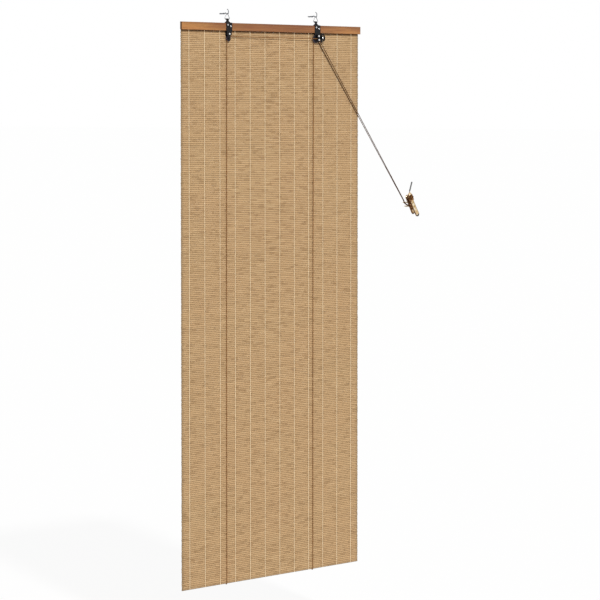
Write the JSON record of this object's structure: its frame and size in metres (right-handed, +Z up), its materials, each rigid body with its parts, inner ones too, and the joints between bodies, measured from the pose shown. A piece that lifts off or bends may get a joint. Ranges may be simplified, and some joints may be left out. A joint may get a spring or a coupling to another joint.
{
  "type": "bamboo roller blind",
  "caption": "Tall roll-up blind of fine bamboo reeds under a slim wooden rail, hung by rings from wall hooks, with lift cords, a cord lock and a brass wall cleat.",
  "frame": {"origin": "on the wall plane, halfway between the two hook screws", "axes": "+X along the head rail to the right seen from the room, +Y into the wall, +Z up"},
  "size_m": [1.1057, 0.0516, 1.642],
  "materials": {
    "zinc_wire": "zinc-plated wire, satin",
    "brass": "polished brass",
    "zinc_screw": "bright zinc plating",
    "cord": "braided polyester cord, brown",
    "grey_sleeve": "shrunk plastic sleeve, grey",
    "rail_wood": "stained wood, matt",
    "reed": "bamboo splints, matt",
    "thread": "twisted cotton thread, pale",
    "black_steel": "black stove enamel, semi-gloss",
    "bright_rivet": "bright nickel plating",
    "dark_plastic": "moulded nylon, dark"
  },
  "bodies": {
    "wall": {"screw_hook_left": "zinc_wire", "screw_hook_right": "zinc_wire", "cleat": "brass", "cleat_screws": "zinc_screw", "cleat_cord_turns": "cord", "cord_tail": "grey_sleeve"},
    "ring_left": {"hanger_ring_left": "zinc_wire"},
    "ring_right": {"hanger_ring_right": "zinc_wire"},
    "blind": {"bracket_left": "black_steel", "bracket_right": "black_steel", "bracket_screws_left": "zinc_screw", "bracket_screws_right": "zinc_screw", "cord_staples": "zinc_screw", "head_rail": "rail_wood", "lift_cord_left": "cord", "lift_cord_right": "cord", "lock_cam_rivet": "bright_rivet", "lock_front_cheek": "black_steel", "lock_guide": "black_steel", "lock_guide_rivet": "bright_rivet", "lock_roller_axle": "bright_rivet", "lock_wheel_stud": "bright_rivet", "pull_cord_left": "cord", "pull_cord_right": "cord", "pulley_axle": "bright_rivet", "pulley_cheek": "black_steel", "pulley_rivet": "bright_rivet", "pulley_spacer": "black_steel", "rear_batten": "rail_wood", "reed_mat": "reed", "warp_threads": "thread"},
    "pulley": {"pulley_wheel": "dark_plastic"},
    "lock_wheel": {"lock_wheel": "dark_plastic"},
    "roller": {"lock_roller": "dark_plastic"},
    "cam": {"lock_cam": "black_steel"}
  },
  "joints": [
    {"name": "ring_left_swing", "type": "hinge", "parent": "wall", "child": "ring_left", "pos_m": [-0.2, -0.0123, 0.00055], "axis": [-1, 0, 0], "range_deg": [-0.3, 12], "deforming": ["pull_cord_left", "pull_cord_right"]},
    {"name": "ring_right_swing", "type": "hinge", "parent": "wall", "child": "ring_right", "pos_m": [0.2, -0.0123, 0.00055], "axis": [-1, 0, 0], "range_deg": [-0.3, 12]},
    {"name": "blind_swing", "type": "hinge", "parent": "ring_left", "child": "blind", "pos_m": [-0.2, -0.0123, -0.01585], "axis": [-1, 0, 0], "range_deg": [-6, 6], "deforming": ["pull_cord_left", "pull_cord_right"]},
    {"name": "pulley_spin", "type": "hinge", "parent": "blind", "child": "pulley", "pos_m": [-0.201, -0.017, -0.0705], "axis": [0, 1, 0], "continuous": true},
    {"name": "lock_wheel_spin", "type": "hinge", "parent": "blind", "child": "lock_wheel", "pos_m": [0.1915, -0.017, -0.066], "axis": [0, 1, 0], "continuous": true},
    {"name": "roller_spin", "type": "hinge", "parent": "blind", "child": "roller", "pos_m": [0.2005, -0.017, -0.0684], "axis": [0, 1, 0], "continuous": true},
    {"name": "cam_release", "type": "hinge", "parent": "blind", "child": "cam", "pos_m": [0.219, -0.017, -0.0625], "axis": [0, -1, 0], "range_deg": [0, 35]}
  ],
  "couplings": [
    {"joint": "ring_right_swing", "follows": "ring_left_swing", "ratio": 1},
    {"joint": "lock_wheel_spin", "follows": "pulley_spin", "ratio": 0.92308},
    {"joint": "roller_spin", "follows": "pulley_spin", "ratio": 1.7647}
  ]
}
